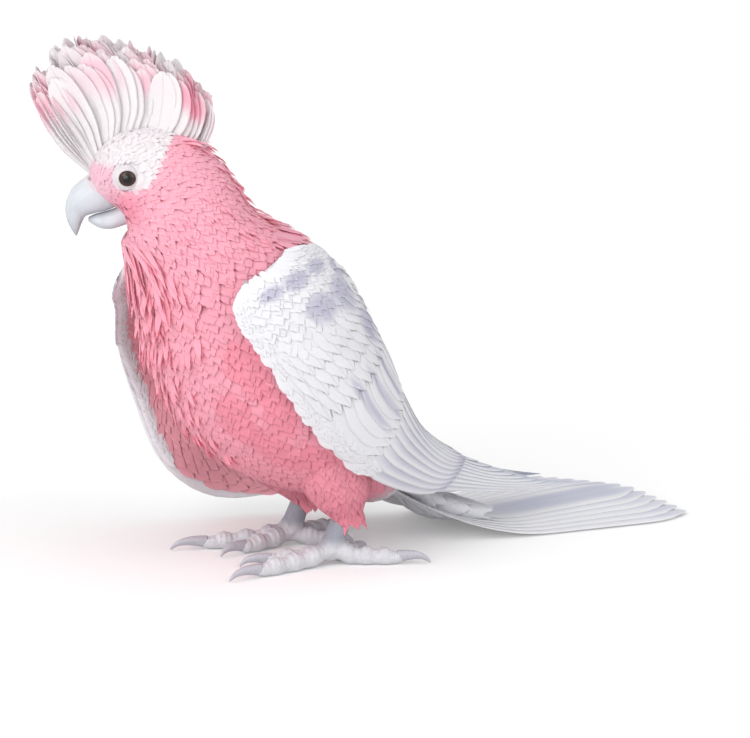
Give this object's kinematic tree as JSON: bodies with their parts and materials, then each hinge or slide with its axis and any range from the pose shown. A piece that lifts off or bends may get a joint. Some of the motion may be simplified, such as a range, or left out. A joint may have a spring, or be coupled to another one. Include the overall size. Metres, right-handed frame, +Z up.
{
  "type": "galah",
  "caption": "Life-size still model of a galah, an upright rose-and-grey cockatoo, crest raised, one wing held off its body and the tail fanned on the floor.",
  "frame": {"origin": "on the floor, under the middle of the whole bird's box", "axes": "+Z up, the bird faces -Y with its tail towards +Y, and its left side is +X"},
  "size_m": [0.1485, 0.2919, 0.2206],
  "materials": {
    "pink_feather": "soft matt feathers",
    "white_feather": "soft matt feathers",
    "grey_feather": "matt feathers with a faint sheen",
    "bill_horn": "satin horn",
    "leg_skin": "scaly dry skin",
    "claw_horn": "polished horn",
    "eye": "wet gloss"
  },
  "bodies": {
    "root": {"bill_lower": "bill_horn", "bill_upper": "bill_horn", "claw_inner_back_left": "claw_horn", "claw_inner_back_right": "claw_horn", "claw_inner_front_left": "claw_horn", "claw_inner_front_right": "claw_horn", "claw_outer_back_left": "claw_horn", "claw_outer_back_right": "claw_horn", "claw_outer_front_left": "claw_horn", "claw_outer_front_right": "claw_horn", "crest": "white_feather", "eye_left": "eye", "eye_right": "eye", "head": "pink_feather", "neck": "pink_feather", "rump": "white_feather", "shank_left": "leg_skin", "shank_right": "leg_skin", "tail": "grey_feather", "thigh_left": "pink_feather", "thigh_right": "pink_feather", "toe_inner_back_left": "leg_skin", "toe_inner_back_right": "leg_skin", "toe_inner_front_left": "leg_skin", "toe_inner_front_right": "leg_skin", "toe_outer_back_left": "leg_skin", "toe_outer_back_right": "leg_skin", "toe_outer_front_left": "leg_skin", "toe_outer_front_right": "leg_skin", "trunk": "pink_feather", "wing_left_coverts": "grey_feather", "wing_left_primaries": "grey_feather", "wing_left_secondaries": "grey_feather", "wing_right_coverts": "grey_feather", "wing_right_primaries": "grey_feather", "wing_right_secondaries": "grey_feather"}
  },
  "joints": []
}
